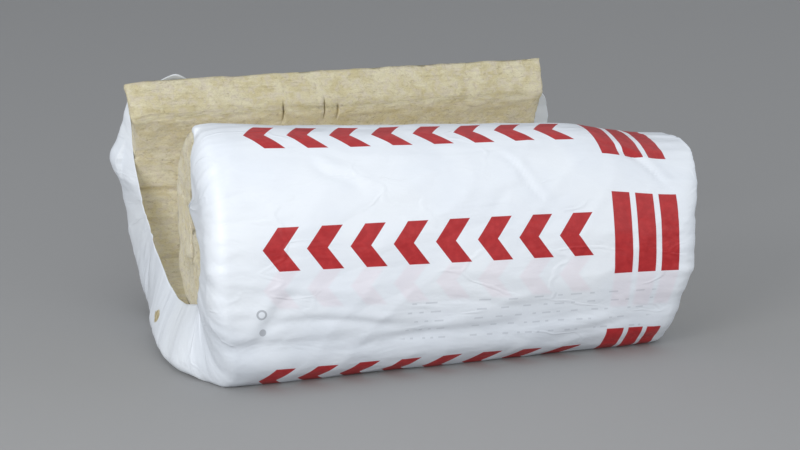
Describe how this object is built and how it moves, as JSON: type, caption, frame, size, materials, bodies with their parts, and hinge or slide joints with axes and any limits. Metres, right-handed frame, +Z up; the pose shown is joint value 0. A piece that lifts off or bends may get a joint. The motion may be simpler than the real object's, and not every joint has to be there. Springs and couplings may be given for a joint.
{
  "type": "opened insulation roll",
  "caption": "Soft stone wool insulation roll lying on its side, its film sleeve slit along the top and the mat's outer end standing up at the back.",
  "frame": {"origin": "on the floor, under the middle of the roll", "axes": "+X along the roll towards its sagged end, +Y to the back where the freed end of the mat stands, +Z up"},
  "size_m": [1.064, 0.8575, 0.526],
  "materials": {
    "stone_wool": "matt, fibrous",
    "film": "satin"
  },
  "bodies": {
    "root": {"wool_mat": "stone_wool", "film_sleeve": "film"}
  },
  "joints": []
}
